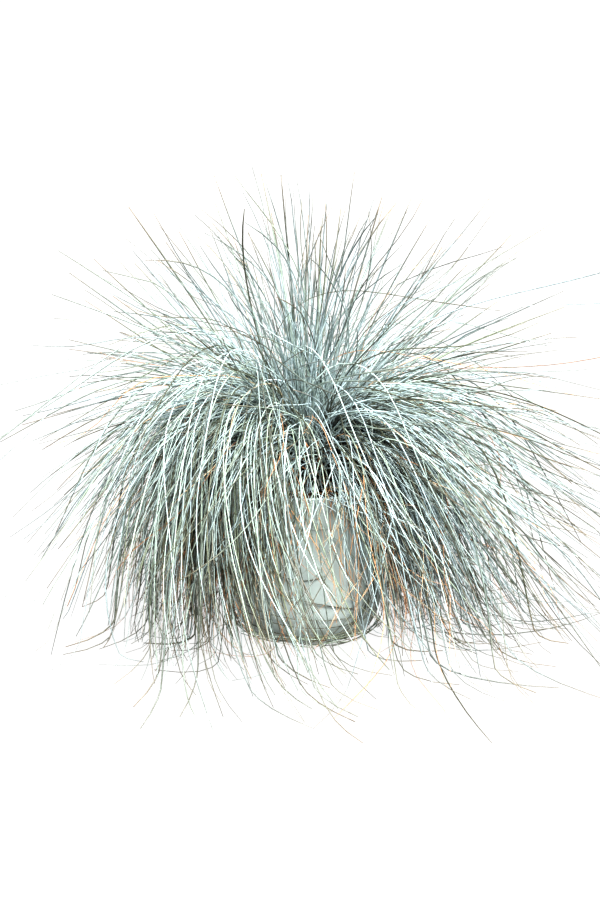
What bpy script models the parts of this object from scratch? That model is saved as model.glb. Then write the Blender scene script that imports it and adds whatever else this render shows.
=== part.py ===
# Potted blue fescue clump: pot, soil, crown and tufts of blades. Metres, +Z up.
# The origin is on the ground, at the middle of the pot's base, and the front is -Y.
import math
import random

import bmesh
import bpy
from mathutils import Matrix, Vector

# Pot
POT_HEIGHT = 0.138
RIM_RADIUS = 0.0705
RIM_HEIGHT = 0.028
RIM_STEP = 0.0010
RIM_CHAMFER = 0.0005
LIP_RADIUS = 0.0013
BASE_RADIUS = 0.0515
CORNER_HEIGHT = 0.045
WALL = 0.0016
RIM_WALL = 0.0026
FLOOR = 0.0022
FOOT_HEIGHT = 0.004
FOOT_WIDTH = 0.006
POT_SEGMENTS = 40
WALL_POINTS = 5
DRAIN_COUNT = 8
DRAIN_RADIUS = 0.0045
DRAIN_RING = 0.038
NOTCH_WIDTH = 0.011
NOTCH_HEIGHT = 0.0026

# Soil and crown
GAP = 0.0004
SIDE_GAP = 0.0005
SOIL_TOP = 0.123
SOIL_DISH = 0.002
SOIL_RINGS = 3
SOIL_RELIEF = 0.0012
CROWN_RADIUS = 0.0365
CROWN_SHOULDER = 0.0105
CROWN_LEAN = math.radians(66)
CROWN_SEGMENTS = 20
CROWN_RINGS = 4

# Tufts, ring by ring from the middle out. lean is from the vertical, in degrees, where the tuft leaves
# the crown. droop is how strongly its own weight bends it over. spread is the share of its sector that
# its tips fill, and phase is where the first one stands, as a share of a sector.
RINGS = {
    "upright": dict(count=5, lean=8, length=0.257, droop=0.45, width=0.013, spread=0.78, phase=0.10),
    "fan": dict(count=8, lean=20.5, length=0.270, droop=0.80, width=0.016, spread=0.76, phase=0.35),
    "spread": dict(count=12, lean=30, length=0.285, droop=2.1, width=0.018, spread=0.74, phase=0.0),
    "arching": dict(count=12, lean=37.5, length=0.318, droop=3.9, width=0.019, spread=0.74, phase=0.5),
    "skirt": dict(count=12, lean=39.5, length=0.345, droop=7.3, width=0.019, spread=0.72, phase=0.0),
    "inner": dict(count=9, lean=50, length=0.268, droop=9.5, width=0.017, spread=0.70, phase=0.62),
}
LEAN_SHAKE = 1.3
LENGTH_SHAKE = 0.06
DROOP_SHAKE = 0.05
TURN_SHAKE = 0.12
# Azimuths, from the front towards +X, between which the hanging tufts part and show the pot
PARTING = (math.radians(-12), math.radians(34))
PARTED_RINGS = ("skirt", "inner")
BODY_STATIONS = (0.0, 0.13, 0.27, 0.40)
SPIKE_STATIONS = (0.54, 0.76, 1.0)
SECTION_CORNERS = 8
ROOT_HALF_WIDTH = 0.0023
ROOT_HALF_THICKNESS = 0.0015
BODY_HALF_THICKNESS = 0.0030
SPIKE_LIFT = 0.010
GROUND_CLEARANCE = 0.004
TUFT_SEED = 2

MATERIALS = {
    "pot_plastic": dict(color=(0.40, 0.45, 0.39), roughness=0.55),
    "potting_soil": dict(color=(0.035, 0.024, 0.016), roughness=0.95),
    "old_sheaths": dict(color=(0.16, 0.10, 0.055), roughness=0.9),
    "fescue_blades": dict(color=(0.36, 0.47, 0.46), roughness=0.6),
}


def clear_scene():
    for obj in list(bpy.data.objects):
        bpy.data.objects.remove(obj, do_unlink=True)


def material(name):
    found = bpy.data.materials.get(name)
    if found:
        return found
    made = bpy.data.materials.new(name)
    made.use_nodes = True
    shader = made.node_tree.nodes["Principled BSDF"]
    shader.inputs["Base Color"].default_value = (*MATERIALS[name]["color"], 1)
    shader.inputs["Roughness"].default_value = MATERIALS[name]["roughness"]
    shader.inputs["Metallic"].default_value = 0
    return made


def add_object(name, bm, material_name, sharp_deg=35):
    bmesh.ops.recalc_face_normals(bm, faces=bm.faces)
    mesh = bpy.data.meshes.new(name)
    bm.to_mesh(mesh)
    bm.free()
    mesh.materials.append(material(material_name))
    mesh.shade_smooth()
    mesh.set_sharp_from_angle(angle=math.radians(sharp_deg))
    obj = bpy.data.objects.new(name, mesh)
    bpy.context.scene.collection.objects.link(obj)
    return obj


# A closed solid turned from a profile of (radius, height) points that starts and ends on the axis
def turned(profile, segments):
    bm = bmesh.new()
    verts = [bm.verts.new((r, 0, z)) for r, z in profile]
    edges = [bm.edges.new(pair) for pair in zip(verts, verts[1:])]
    bmesh.ops.spin(
        bm, geom=verts + edges, cent=(0, 0, 0), axis=(0, 0, 1),
        angle=math.tau, steps=segments, use_merge=True,
    )
    bmesh.ops.remove_doubles(bm, verts=bm.verts, dist=1e-6)
    return bm


# The pot. Its side is upright and rounds in to the base over a tall corner, a quarter of an ellipse.
def wall_radius(height):
    side = RIM_RADIUS - RIM_STEP
    below = max(1 - height / CORNER_HEIGHT, 0)
    return side - (side - BASE_RADIUS) * (1 - math.sqrt(1 - below**2))


# Heights up the wall, closest together where it rounds most
def wall_heights(low):
    shares = [(k / WALL_POINTS) ** 2 for k in range(WALL_POINTS + 1)]
    return [low + (CORNER_HEIGHT - low) * share for share in shares] + [POT_HEIGHT - RIM_HEIGHT]


# Points up the inside of the wall, from its floor to the rim
def inner_wall(clearance=0):
    heights = wall_heights(FOOT_HEIGHT + FLOOR + clearance)
    return [(wall_radius(z) - WALL - clearance, z) for z in heights]


def pot_profile():
    rim_low = POT_HEIGHT - RIM_HEIGHT
    outer_wall = [(wall_radius(z), z) for z in wall_heights(0)]
    foot_inside = BASE_RADIUS - FOOT_WIDTH
    rim_inside = RIM_RADIUS - RIM_WALL
    underside = [(0, FOOT_HEIGHT), (foot_inside, FOOT_HEIGHT), (foot_inside, 0)]
    rim = [
        (RIM_RADIUS - RIM_CHAMFER, rim_low + RIM_CHAMFER),
        (RIM_RADIUS, POT_HEIGHT - LIP_RADIUS),
        (RIM_RADIUS - LIP_RADIUS, POT_HEIGHT),
        (rim_inside, POT_HEIGHT - LIP_RADIUS),
        (rim_inside, rim_low + RIM_WALL),
    ]
    return underside + outer_wall + rim + inner_wall()[::-1] + [(0, FOOT_HEIGHT + FLOOR)]


def cutter(name, bm):
    obj = add_object(name, bm, "pot_plastic")
    obj.hide_render = True
    obj.display_type = "WIRE"
    return obj


# Round drain holes through the floor
def drain_cutter():
    bm = bmesh.new()
    for k in range(DRAIN_COUNT):
        angle = math.tau * (k + 0.5) / DRAIN_COUNT
        made = bmesh.ops.create_cone(
            bm, cap_ends=True, segments=8, radius1=DRAIN_RADIUS, radius2=DRAIN_RADIUS,
            depth=4 * FOOT_HEIGHT,
        )
        place = Vector((DRAIN_RING * math.cos(angle), DRAIN_RING * math.sin(angle), FOOT_HEIGHT))
        bmesh.ops.translate(bm, verts=made["verts"], vec=place)
    return cutter("drain_cutter", bm)


# Notches that let the water out through the foot ring
def notch_cutter():
    bm = bmesh.new()
    for k in range(DRAIN_COUNT):
        made = bmesh.ops.create_cube(bm, size=1)
        bmesh.ops.scale(bm, verts=made["verts"], vec=(3 * FOOT_WIDTH, NOTCH_WIDTH, 2 * NOTCH_HEIGHT))
        bmesh.ops.translate(bm, verts=made["verts"], vec=(BASE_RADIUS, 0, 0))
        bmesh.ops.rotate(
            bm, verts=made["verts"], cent=(0, 0, 0),
            matrix=Matrix.Rotation(math.tau * (k + 0.5) / DRAIN_COUNT, 3, "Z"),
        )
    return cutter("notch_cutter", bm)


def cut(obj, tool):
    modifier = obj.modifiers.new(tool.name, "BOOLEAN")
    modifier.operation = "DIFFERENCE"
    modifier.object = tool


def make_pot():
    pot = add_object("pot", turned(pot_profile(), POT_SEGMENTS), "pot_plastic")
    cut(pot, drain_cutter())
    cut(pot, notch_cutter())


# The soil. Its surface is a little uneven, and settled lower beside the wall.
def soil_height(radius, angle):
    waves = math.sin(3 * angle + 1.1) * math.cos(90 * radius)
    waves += 0.6 * math.sin(7 * angle - 150 * radius)
    return SOIL_TOP - SOIL_DISH * (radius / RIM_RADIUS) ** 2 + SOIL_RELIEF * waves


def make_soil():
    sides = inner_wall(SIDE_GAP)
    throat = sides[-1][0]
    profile = [(0, sides[0][1])] + sides + [(throat, SOIL_TOP)]
    profile += [(throat * (SOIL_RINGS - k) / (SOIL_RINGS + 1), SOIL_TOP) for k in range(SOIL_RINGS)]
    bm = turned(profile + [(0, SOIL_TOP)], POT_SEGMENTS)
    for vert in bm.verts:
        radius = math.hypot(vert.co.x, vert.co.y)
        if math.isclose(vert.co.z, SOIL_TOP, abs_tol=1e-5) and radius > CROWN_RADIUS:
            vert.co.z = soil_height(radius, math.atan2(vert.co.y, vert.co.x))
    add_object("soil", bm, "potting_soil", sharp_deg=60)


# The crown is a low dome, the cap of a ball, so that every tuft leaves it square on.
def crown_ball():
    radius = CROWN_RADIUS / math.sin(CROWN_LEAN)
    shoulder = SOIL_TOP + GAP + CROWN_SHOULDER
    return radius, shoulder - radius * math.cos(CROWN_LEAN)


def make_crown():
    ball, centre = crown_ball()
    base = SOIL_TOP + GAP
    leans = [CROWN_LEAN * (1 - k / CROWN_RINGS) for k in range(CROWN_RINGS)]
    cap = [(ball * math.sin(a), centre + ball * math.cos(a)) for a in leans]
    profile = [(0, base), (CROWN_RADIUS, base)] + cap + [(0, centre + ball)]
    add_object("crown", turned(profile, CROWN_SEGMENTS), "old_sheaths")


# The tufts. A blade is stiff in its sheath and near its tip, and softest a third of the way up.
def softness(share):
    return (3 * share) ** 1.5 * (1.5 * (1 - share)) ** 3


# Points and directions along a tuft that leaves the crown at lean and bows under its own weight
def grow(azimuth, lean, length, droop, steps=48):
    ball, centre = crown_ball()
    out = Vector((math.sin(azimuth), -math.cos(azimuth), 0))
    up = Vector((0, 0, 1))
    direction = out * math.sin(lean) + up * math.cos(lean)
    point = (ball + GAP) * direction + centre * up
    line = []
    for k in range(steps + 1):
        direction = out * math.sin(lean) + up * math.cos(lean)
        line.append((point.copy(), direction))
        point += direction * length / steps
        lean += droop / steps * softness(k / steps) * math.sin(lean)
    return line


# The place at a share of the line's length, and the directions across and over the tuft there
def frame_at(line, share):
    place = share * (len(line) - 1)
    low = min(int(place), len(line) - 2)
    centre = line[low][0].lerp(line[low + 1][0], place - low)
    direction = line[low][1].lerp(line[low + 1][1], place - low).normalized()
    across = Vector((0, 0, 1)).cross(Vector((direction.x, direction.y, 0))).normalized()
    return centre, across, direction.cross(across)


def set_section(verts, line, share, half_width, half_thickness):
    centre, across, over = frame_at(line, share)
    for k, vert in enumerate(verts):
        angle = math.tau * (k + 0.5) / len(verts)
        vert.co = centre + across * half_width * math.cos(angle) + over * half_thickness * math.sin(angle)


# The body of a tuft: a flattened, tapered rod drawn out from a short prism. Returns its end face.
def draw_body(bm, line, width):
    bmesh.ops.create_cone(bm, cap_ends=True, segments=SECTION_CORNERS, radius1=1, radius2=1, depth=2)
    caps = [f for f in bm.faces if len(f.verts) == SECTION_CORNERS]
    root, end = sorted(caps, key=lambda f: f.calc_center_median().z)
    pairs = {v: e.other_vert(v) for v in end.verts for e in v.link_edges if e.other_vert(v) in root.verts}
    rings = [[pairs[v] for v in end.verts], list(end.verts)]
    for _ in BODY_STATIONS[2:]:
        end = bmesh.ops.extrude_discrete_faces(bm, faces=[end])["faces"][0]
        rings.append(list(end.verts))
    for ring, share in zip(rings, BODY_STATIONS):
        grown = (share / BODY_STATIONS[-1]) ** 0.8
        half_width = ROOT_HALF_WIDTH + (width / 2 - ROOT_HALF_WIDTH) * grown
        half_thickness = ROOT_HALF_THICKNESS + (BODY_HALF_THICKNESS - ROOT_HALF_THICKNESS) * grown
        set_section(ring, line, share, half_width, half_thickness)
    return end


# Parts the end of a tuft into faces that lie side by side, one for each spike
def split_end(bm, end, across):
    corners = list(end.verts)
    parts = [end]
    for k in range(1, SECTION_CORNERS // 2):
        holder = next(f for f in parts if corners[k] in f.verts and corners[-k] in f.verts)
        parts.append(bmesh.utils.face_split(holder, corners[k], corners[-k])[0])
    return sorted(parts, key=lambda f: f.calc_center_median().dot(across))


# Draws one face out along the tuft and brings it to a point. The ends of long ones trail on the ground.
def grow_spike(bm, face, line, sideways, lift, reach):
    start = BODY_STATIONS[-1]
    centre, across, over = frame_at(line, start)
    corners = [v.co.copy() for v in face.verts]
    own = sum(corners, Vector()) / len(corners)
    aside = (own - centre).dot(across)
    above = (own - centre).dot(over)
    section = [((c - own).dot(across), (c - own).dot(over)) for c in corners]
    for share in SPIKE_STATIONS:
        way = (share - start) / (1 - start)
        centre, across, over = frame_at(line, start + (share - start) * reach)
        place = centre + across * (aside + sideways * way) + over * (above + lift * way)
        place.z = max(place.z, GROUND_CLEARANCE)
        slim = (1 - way) ** 0.8
        face = bmesh.ops.extrude_discrete_faces(bm, faces=[face])["faces"][0]
        for vert, (side, high) in zip(face.verts, section):
            vert.co = place + (across * side + over * high) * slim
    bmesh.ops.pointmerge(bm, verts=list(face.verts), merge_co=place)


def make_tuft(name, line, width, fan, chance):
    bm = bmesh.new()
    end = draw_body(bm, line, width)
    across = frame_at(line, BODY_STATIONS[-1])[1]
    parts = split_end(bm, end, across)
    for k, face in enumerate(parts):
        side = 2 * k / (len(parts) - 1) - 1
        lift = SPIKE_LIFT * (-1) ** k * chance.uniform(0.7, 1.3)
        reach = 1 - 0.12 * abs(side) - chance.uniform(0, 0.06)
        grow_spike(bm, face, line, side * fan, lift, reach)
    add_object(name, bm, "fescue_blades", sharp_deg=50)


def in_parting(azimuth):
    turned_to = (azimuth + math.pi) % math.tau - math.pi
    return PARTING[0] < turned_to < PARTING[1]


def make_ring(ring, facts, chance):
    made = 0
    for k in range(facts["count"]):
        turn = k + facts["phase"] + TURN_SHAKE * chance.uniform(-1, 1)
        azimuth = math.tau * turn / facts["count"]
        lean = math.radians(facts["lean"] + LEAN_SHAKE * chance.uniform(-1, 1))
        length = facts["length"] * (1 - LENGTH_SHAKE * chance.random())
        droop = facts["droop"] * (1 + DROOP_SHAKE * chance.uniform(-1, 1))
        if ring in PARTED_RINGS and in_parting(azimuth):
            continue
        made += 1
        line = grow(azimuth, lean, length, droop)
        tip = line[-1][0]
        sector = math.pi * math.hypot(tip.x, tip.y) / facts["count"]
        fan = sector * facts["spread"] - facts["width"] / 2
        make_tuft(f"tuft_{ring}_{made:02d}", line, facts["width"], fan, chance)


clear_scene()
make_pot()
make_soil()
make_crown()
tuft_chance = random.Random(TUFT_SEED)
for ring_name, ring_facts in RINGS.items():
    make_ring(ring_name, ring_facts, tuft_chance)
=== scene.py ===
# Potted blue fescue clump, the looks. Metres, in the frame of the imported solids, with the front at -Y.
import math

import bmesh
import bpy
import numpy as np
from mathutils import Matrix, Vector, noise


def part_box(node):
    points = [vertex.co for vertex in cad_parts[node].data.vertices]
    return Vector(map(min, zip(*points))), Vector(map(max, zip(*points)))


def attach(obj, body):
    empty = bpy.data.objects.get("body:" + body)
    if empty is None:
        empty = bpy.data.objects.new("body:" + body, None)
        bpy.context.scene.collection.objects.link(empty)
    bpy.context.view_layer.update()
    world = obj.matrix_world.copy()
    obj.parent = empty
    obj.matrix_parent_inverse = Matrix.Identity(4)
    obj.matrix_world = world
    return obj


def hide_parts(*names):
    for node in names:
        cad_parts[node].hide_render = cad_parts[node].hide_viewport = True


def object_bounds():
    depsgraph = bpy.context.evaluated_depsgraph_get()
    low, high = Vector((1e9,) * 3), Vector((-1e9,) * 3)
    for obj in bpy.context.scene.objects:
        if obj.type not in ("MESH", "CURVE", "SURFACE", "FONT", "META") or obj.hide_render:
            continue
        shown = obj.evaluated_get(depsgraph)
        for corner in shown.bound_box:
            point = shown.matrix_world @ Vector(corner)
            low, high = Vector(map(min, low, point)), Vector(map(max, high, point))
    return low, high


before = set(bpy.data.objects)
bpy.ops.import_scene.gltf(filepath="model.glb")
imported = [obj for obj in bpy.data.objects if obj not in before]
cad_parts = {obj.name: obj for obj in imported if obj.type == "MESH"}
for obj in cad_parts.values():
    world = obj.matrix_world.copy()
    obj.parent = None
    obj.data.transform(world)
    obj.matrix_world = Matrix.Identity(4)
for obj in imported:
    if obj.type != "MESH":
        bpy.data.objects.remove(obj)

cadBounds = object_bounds()
tau = math.tau
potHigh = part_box("pot")[1]
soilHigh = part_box("soil")[1]
crownLow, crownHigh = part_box("crown")
seeds = {"soil": 5, "crown": 9, "strays": 21, "wrapped": 31, "dead": 77, "rings": 100}


def nodesOf(ring):
    return [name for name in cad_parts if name.startswith(f"tuft_{ring}_")]


# Camera, with the photograph's frame of 600 x 900

view = {
    "place": (-0.006, -0.937, 0.407), "pitchDown": 14.7, "focalPixels": 1100, "framePixels": 900,
    "sensor": 36, "clipEnd": 50,
}


def addCamera():
    data = bpy.data.cameras.new("studioCamera")
    data.sensor_width = view["sensor"]
    data.lens = view["focalPixels"] * view["sensor"] / view["framePixels"]
    data.clip_end = view["clipEnd"]
    camera = bpy.data.objects.new("studioCamera", data)
    camera.location = view["place"]
    camera.rotation_euler = (math.radians(90 - view["pitchDown"]), 0, 0)
    bpy.context.scene.collection.objects.link(camera)
    bpy.context.scene.camera = camera


# Studio: a white world and one broad key from above, in front and a little to the right

studio = {
    "look": "High Contrast", "world": 0.74, "floorColour": (0.024, 0.024, 0.024), "floorGlow": 0.655,
    "floorSize": 60, "floorRoughness": 0.9, "floorGrain": 40, "floorFleck": 0.985,
    "keyFrom": (0.32, -0.56, 1.0), "keyStrength": 10.8, "keySoftness": 24,
}


def addStudio():
    scene = bpy.context.scene
    scene.view_settings.view_transform = "Standard"
    scene.view_settings.look = studio["look"]
    world = bpy.data.worlds.new("studioWorld")
    world.use_nodes = True
    world.node_tree.nodes["Background"].inputs["Color"].default_value = (1, 1, 1, 1)
    world.node_tree.nodes["Background"].inputs["Strength"].default_value = studio["world"]
    scene.world = world
    data = bpy.data.lights.new("overheadKey", "SUN")
    data.energy = studio["keyStrength"]
    data.angle = math.radians(studio["keySoftness"])
    lamp = bpy.data.objects.new("overheadKey", data)
    lamp.rotation_euler = Vector(studio["keyFrom"]).to_track_quat("Z", "Y").to_euler()
    scene.collection.objects.link(lamp)
    bm = bmesh.new()
    bmesh.ops.create_grid(bm, x_segments=1, y_segments=1, size=studio["floorSize"] / 2)
    floor = addPiece("studioFloor", bm)
    floor.data.materials.append(floorPaint())


# Small helpers


def addPiece(name, bm):
    mesh = bpy.data.meshes.new(name)
    bm.to_mesh(mesh)
    bm.free()
    mesh.shade_smooth()
    piece = bpy.data.objects.new(name, mesh)
    bpy.context.scene.collection.objects.link(piece)
    return piece


def dress(piece, material, slot, *nodes):
    piece.data.materials.append(material)
    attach(piece, "root")
    if nodes:
        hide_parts(*nodes)


def startMaterial(name, roughness):
    material = bpy.data.materials.new(name)
    material.use_nodes = True
    tree = material.node_tree
    shader = tree.nodes["Principled BSDF"]
    shader.inputs["Roughness"].default_value = roughness
    return material, tree, shader


def addNode(tree, kind, **settings):
    made = tree.nodes.new(kind)
    for name, value in settings.items():
        setattr(made, name, value)
    return made


def objectPlace(tree):
    return addNode(tree, "ShaderNodeTexCoord").outputs["Object"]


def addNoise(tree, scale, detail=3, roughness=0.55):
    made = addNode(tree, "ShaderNodeTexNoise")
    made.inputs["Scale"].default_value = scale
    made.inputs["Detail"].default_value = detail
    made.inputs["Roughness"].default_value = roughness
    tree.links.new(objectPlace(tree), made.inputs["Vector"])
    return made.outputs["Fac"]


# ends is where the value starts and stops, and what that becomes, if not 0 and 1
def addRange(tree, value, *ends):
    made = addNode(tree, "ShaderNodeMapRange")
    tree.links.new(value, made.inputs["Value"])
    for name, end in zip(("From Min", "From Max", "To Min", "To Max"), ends):
        made.inputs[name].default_value = end
    return made.outputs["Result"]


def addMath(tree, operation, a, b):
    made = addNode(tree, "ShaderNodeMath", operation=operation)
    for socket, value in zip(made.inputs, (a, b)):
        tree.links.new(value, socket)
    return made.outputs[0]


# Each of a and b is a plain colour or another node's output
def addMix(tree, factor, a, b):
    made = addNode(tree, "ShaderNodeMix", data_type="RGBA")
    tree.links.new(factor, made.inputs[0])
    for socket, value in zip((made.inputs[6], made.inputs[7]), (a, b)):
        if isinstance(value, tuple):
            socket.default_value = (*value, 1)
        else:
            tree.links.new(value, socket)
    return made.outputs[2]


def addRamp(tree, value, stops):
    made = addNode(tree, "ShaderNodeValToRGB")
    ramp = made.color_ramp
    while len(ramp.elements) < len(stops):
        ramp.elements.new(0.5)
    for element, (place, colour) in zip(ramp.elements, stops):
        element.position = place
        element.color = (*colour, 1)
    tree.links.new(value, made.inputs["Fac"])
    return made.outputs["Color"]


def addAttribute(tree, name):
    made = addNode(tree, "ShaderNodeAttribute", attribute_name=name)
    return made.outputs["Fac"]


def addBump(tree, shader, height, strength, distance):
    made = addNode(tree, "ShaderNodeBump")
    made.inputs["Strength"].default_value = strength
    made.inputs["Distance"].default_value = distance
    tree.links.new(height, made.inputs["Height"])
    tree.links.new(made.outputs["Normal"], shader.inputs["Normal"])


# Turns an outline of radii and heights round the middle
def turnOutline(bm, outline, steps):
    verts = [bm.verts.new((r, 0, z)) for r, z in outline]
    edges = [bm.edges.new(pair) for pair in zip(verts, verts[1:])]
    bmesh.ops.spin(
        bm, geom=verts + edges, cent=(0, 0, 0), axis=(0, 0, 1),
        angle=tau, steps=steps, use_merge=True,
    )
    bmesh.ops.remove_doubles(bm, verts=bm.verts, dist=1e-6)


# Materials


def floorPaint():
    material, tree, shader = startMaterial("paleFloor", studio["floorRoughness"])
    grain = addNoise(tree, studio["floorGrain"])
    low = tuple(studio["floorFleck"] * c for c in studio["floorColour"])
    tree.links.new(addMix(tree, grain, studio["floorColour"], low), shader.inputs["Base Color"])
    shader.inputs["Emission Color"].default_value = (1, 1, 1, 1)
    shader.inputs["Emission Strength"].default_value = studio["floorGlow"]
    return material


bladeLook = {
    "blue": [
        (0.0, (0.044, 0.046, 0.034)), (0.3, (0.170, 0.212, 0.214)),
        (0.6, (0.365, 0.452, 0.468)), (0.85, (0.452, 0.557, 0.580)),
        (1.0, (0.515, 0.620, 0.640)),
    ],
    "green": [
        (0.0, (0.042, 0.038, 0.020)), (0.3, (0.120, 0.136, 0.082)),
        (0.6, (0.290, 0.352, 0.268)), (0.85, (0.365, 0.445, 0.352)),
        (1.0, (0.420, 0.505, 0.405)),
    ],
    "sheath": (0.011, 0.009, 0.006), "dryTip": (0.22, 0.165, 0.11), "tipStart": 0.80, "waxScale": 260,
    "waxRange": (0.3, 0.7), "waxDepth": 0.22, "roughness": 0.42,
}


# Live blades: each has its own tone and hue, a mottled wax, a near-black base that is painted shade near
# the crown, and often a dry tip
def bladeSkin():
    material, tree, shader = startMaterial("glaucousBlade", bladeLook["roughness"])
    tone = addAttribute(tree, "tone")
    along = addAttribute(tree, "along")
    dry = addAttribute(tree, "dry")
    wax = addNoise(tree, bladeLook["waxScale"])
    depth = bladeLook["waxDepth"]
    bloom = addRange(tree, wax, *bladeLook["waxRange"], -depth / 2, depth / 2)
    waxed = addMath(tree, "ADD", tone, bloom)
    colour = addMix(
        tree, addAttribute(tree, "hue"), addRamp(tree, waxed, bladeLook["blue"]),
        addRamp(tree, waxed, bladeLook["green"]),
    )
    # Painted shade: the blades go near black at their bases, down in the crown's hollow
    colour = addMix(tree, addAttribute(tree, "base"), colour, bladeLook["sheath"])
    toTip = addMath(tree, "MULTIPLY", addRange(tree, along, bladeLook["tipStart"], 1.0), dry)
    colour = addMix(tree, toTip, colour, bladeLook["dryTip"])
    tree.links.new(colour, shader.inputs["Base Color"])
    return material


strawLook = {
    "tones": [
        (0.0, (0.16, 0.075, 0.035)), (0.45, (0.42, 0.21, 0.10)),
        (0.75, (0.60, 0.36, 0.19)), (1.0, (0.66, 0.55, 0.38)),
    ],
    "mottleScale": 160, "mottleRange": (0.3, 0.7), "mottleDepth": 0.15, "roughness": 0.75,
}


def strawSkin():
    material, tree, shader = startMaterial("deadBlade", strawLook["roughness"])
    tone = addAttribute(tree, "tone")
    mottle = addNoise(tree, strawLook["mottleScale"])
    depth = strawLook["mottleDepth"]
    worn = addMath(tree, "ADD", tone, addRange(tree, mottle, *strawLook["mottleRange"], -depth, depth))
    tree.links.new(addRamp(tree, worn, strawLook["tones"]), shader.inputs["Base Color"])
    return material


potLook = {
    "base": (0.300, 0.346, 0.330), "faded": (0.330, 0.378, 0.360), "fadeScale": 9,
    "fadeRange": (0.35, 0.7), "dust": (0.26, 0.24, 0.18), "dustTop": 0.030, "splashScale": 60,
    "splashRange": (0.45, 0.75, 0.0, 0.6), "roughness": 0.42, "glossScale": 35,
    "glossRange": (0.3, 0.7, 0.36, 0.52), "grainScale": 1400, "grainStrength": 0.25,
    "grainDepth": 0.0002,
}


def potSkin():
    material, tree, shader = startMaterial("sagePlastic", potLook["roughness"])
    fade = addRange(tree, addNoise(tree, potLook["fadeScale"], 4), *potLook["fadeRange"])
    colour = addMix(tree, fade, potLook["base"], potLook["faded"])
    heights = addNode(tree, "ShaderNodeSeparateXYZ")
    tree.links.new(objectPlace(tree), heights.inputs[0])
    low = addRange(tree, heights.outputs["Z"], potLook["dustTop"], 0.0)
    splash = addNoise(tree, potLook["splashScale"], 5, 0.7)
    dusty = addMath(tree, "MULTIPLY", low, addRange(tree, splash, *potLook["splashRange"]))
    colour = addMix(tree, dusty, colour, potLook["dust"])
    tree.links.new(colour, shader.inputs["Base Color"])
    gloss = addRange(tree, addNoise(tree, potLook["glossScale"]), *potLook["glossRange"])
    tree.links.new(gloss, shader.inputs["Roughness"])
    grain = addNoise(tree, potLook["grainScale"], 2)
    addBump(tree, shader, grain, potLook["grainStrength"], potLook["grainDepth"])
    return material


soilLook = {
    "crumbs": [
        (0.25, (0.012, 0.008, 0.005)), (0.55, (0.045, 0.028, 0.017)),
        (0.8, (0.12, 0.08, 0.05)),
    ],
    "crumbScale": 220, "bumpStrength": 0.8, "bumpDepth": 0.001, "roughness": 0.95,
}


def soilSkin():
    material, tree, shader = startMaterial("dampCompost", soilLook["roughness"])
    crumbs = addNoise(tree, soilLook["crumbScale"], 6, 0.7)
    tree.links.new(addRamp(tree, crumbs, soilLook["crumbs"]), shader.inputs["Base Color"])
    addBump(tree, shader, crumbs, soilLook["bumpStrength"], soilLook["bumpDepth"])
    return material


# The pot: the sizes of its solid, turned finely, with a groove round its collar and a soft lip

potSize = {
    "height": potHigh[2], "rimRadius": potHigh[0], "collar": 0.028, "step": 0.0010,
    "baseRadius": 0.0515, "cornerHeight": 0.045, "wall": 0.0016, "rimWall": 0.0026, "floor": 0.0022,
    "footHeight": 0.004, "footWidth": 0.006, "footChamfer": 0.0003, "lip": 0.0010,
    "collarEdge": ((0.0006, 0.0002), (0.0001, 0.0008)), "lipEase": 0.0008, "floorEase": 0.0005,
    "grooveDrop": 0.0125, "grooveDepth": 0.0003, "grooveHalf": 0.0009, "grooveEase": 0.0016,
    "cornerSteps": 16, "bodySteps": 4, "segments": 144, "sharpFrom": 38, "notches": 8,
    "notchWidth": 0.011, "notchHeight": 0.0026, "notchLength": 0.0165, "notchOut": 0.001,
    "drainRing": 0.038, "drainRadius": 0.0045, "drainDepth": 0.01, "drainSegments": 24,
}


# The side rounds in to the base over a tall corner, a quarter of an ellipse
def potRadius(height):
    height = np.asarray(height, float)
    side = potSize["rimRadius"] - potSize["step"]
    below = np.clip(1 - height / potSize["cornerHeight"], 0, 1)
    body = side - (side - potSize["baseRadius"]) * (1 - np.sqrt(1 - below ** 2))
    return np.where(height > potSize["height"] - potSize["collar"], potSize["rimRadius"], body)


def roundCorner(centre, radius, start, end, steps=4):
    angles = [start + (end - start) * k / steps for k in range(steps + 1)]
    return [(centre[0] + radius * math.cos(a), centre[1] + radius * math.sin(a)) for a in angles]


def potOutline():
    size = potSize
    high = size["height"]
    rim = size["rimRadius"]
    collarLow = high - size["collar"]
    footIn = size["baseRadius"] - size["footWidth"]
    inside = rim - size["rimWall"]
    lip, chamfer = size["lip"], size["footChamfer"]
    underside = [(0, size["footHeight"]), (footIn, size["footHeight"]), (footIn, chamfer)]
    underside.append((footIn + chamfer, 0))
    corner, cornerSteps, bodySteps = size["cornerHeight"], size["cornerSteps"], size["bodySteps"]
    heights = [corner * (k / cornerSteps) ** 2 for k in range(cornerSteps + 1)]
    heights += [corner + (collarLow - corner) * k / bodySteps for k in range(1, bodySteps + 1)]
    body = [(float(potRadius(z)), z) for z in heights]
    groove = high - size["grooveDrop"]
    half, ease = size["grooveHalf"], size["grooveEase"]
    collar = [(rim - inward, collarLow + up) for inward, up in size["collarEdge"]]
    collar += [(rim, collarLow + ease), (rim, groove - ease), (rim, groove - half)]
    collar += [(rim - size["grooveDepth"], groove), (rim, groove + half), (rim, groove + ease)]
    collar.append((rim, high - lip - size["lipEase"]))
    lipOut = roundCorner((rim - lip, high - lip), lip, 0, math.pi / 2)
    lipIn = roundCorner((inside + lip, high - lip), lip, math.pi / 2, math.pi)
    throat = [(inside, collarLow + size["rimWall"])]
    floorTop = size["footHeight"] + size["floor"]
    inner = [(r - size["wall"], z) for r, z in reversed(body) if z > floorTop + size["floorEase"]]
    inner.append((float(potRadius(floorTop)) - size["wall"], floorTop))
    return underside + body + collar + lipOut + lipIn + throat + inner + [(0, floorTop)]


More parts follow.
